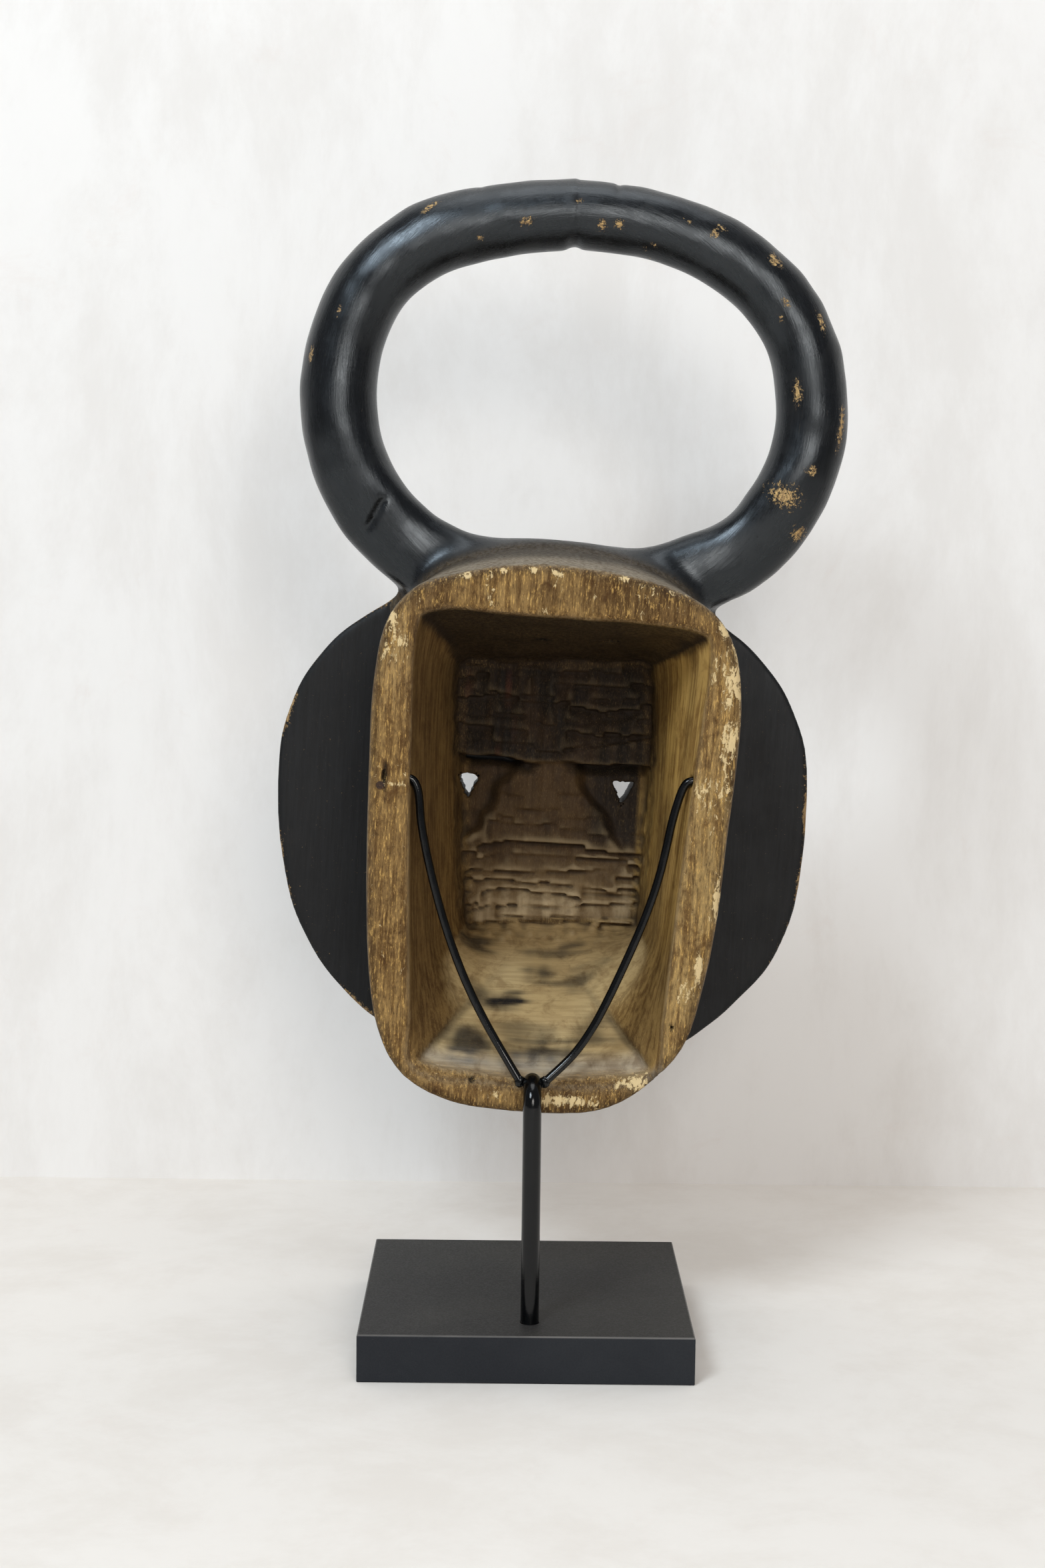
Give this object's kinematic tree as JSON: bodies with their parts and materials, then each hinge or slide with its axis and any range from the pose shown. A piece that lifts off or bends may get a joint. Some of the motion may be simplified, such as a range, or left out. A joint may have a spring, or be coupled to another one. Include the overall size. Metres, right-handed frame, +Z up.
{
  "type": "carved mask on stand",
  "caption": "Carved wooden disc-face mask with horns closed into a ring and a deep hollow hood, hung on the wire fork of a bent steel rod on a square block.",
  "frame": {"origin": "centre of the square block's underside", "axes": "+Z up; +Y is the way the mask faces; +X is to the right as seen from behind the mask"},
  "size_m": [0.3289, 0.183, 0.6534],
  "materials": {
    "raw_wood": "unpainted, dry, aged brown and ochre, tool-marked",
    "black_wood": "black paint on wood, satin and worn at the edges",
    "block_paint": "matte black paint on board",
    "black_steel": "satin-gloss black paint",
    "bare_steel": "zinc plated",
    "old_iron": "dull grey iron"
  },
  "bodies": {
    "stand": {"base_block": "block_paint", "stem_rod": "black_steel", "stem_screw": "bare_steel", "screw_washer": "bare_steel", "fork_arm_left": "black_steel", "fork_arm_right": "black_steel"},
    "mask": {"hood_shell": "raw_wood", "face_disc": "black_wood", "horn_left": "black_wood", "horn_right": "black_wood", "rim_nail": "old_iron"}
  },
  "joints": [
    {"name": "mask_tilt", "type": "hinge", "parent": "stand", "child": "mask", "pos_m": [0, -0.042, 0.3185], "axis": [1, 0, 0], "range_deg": [0, 60]}
  ]
}
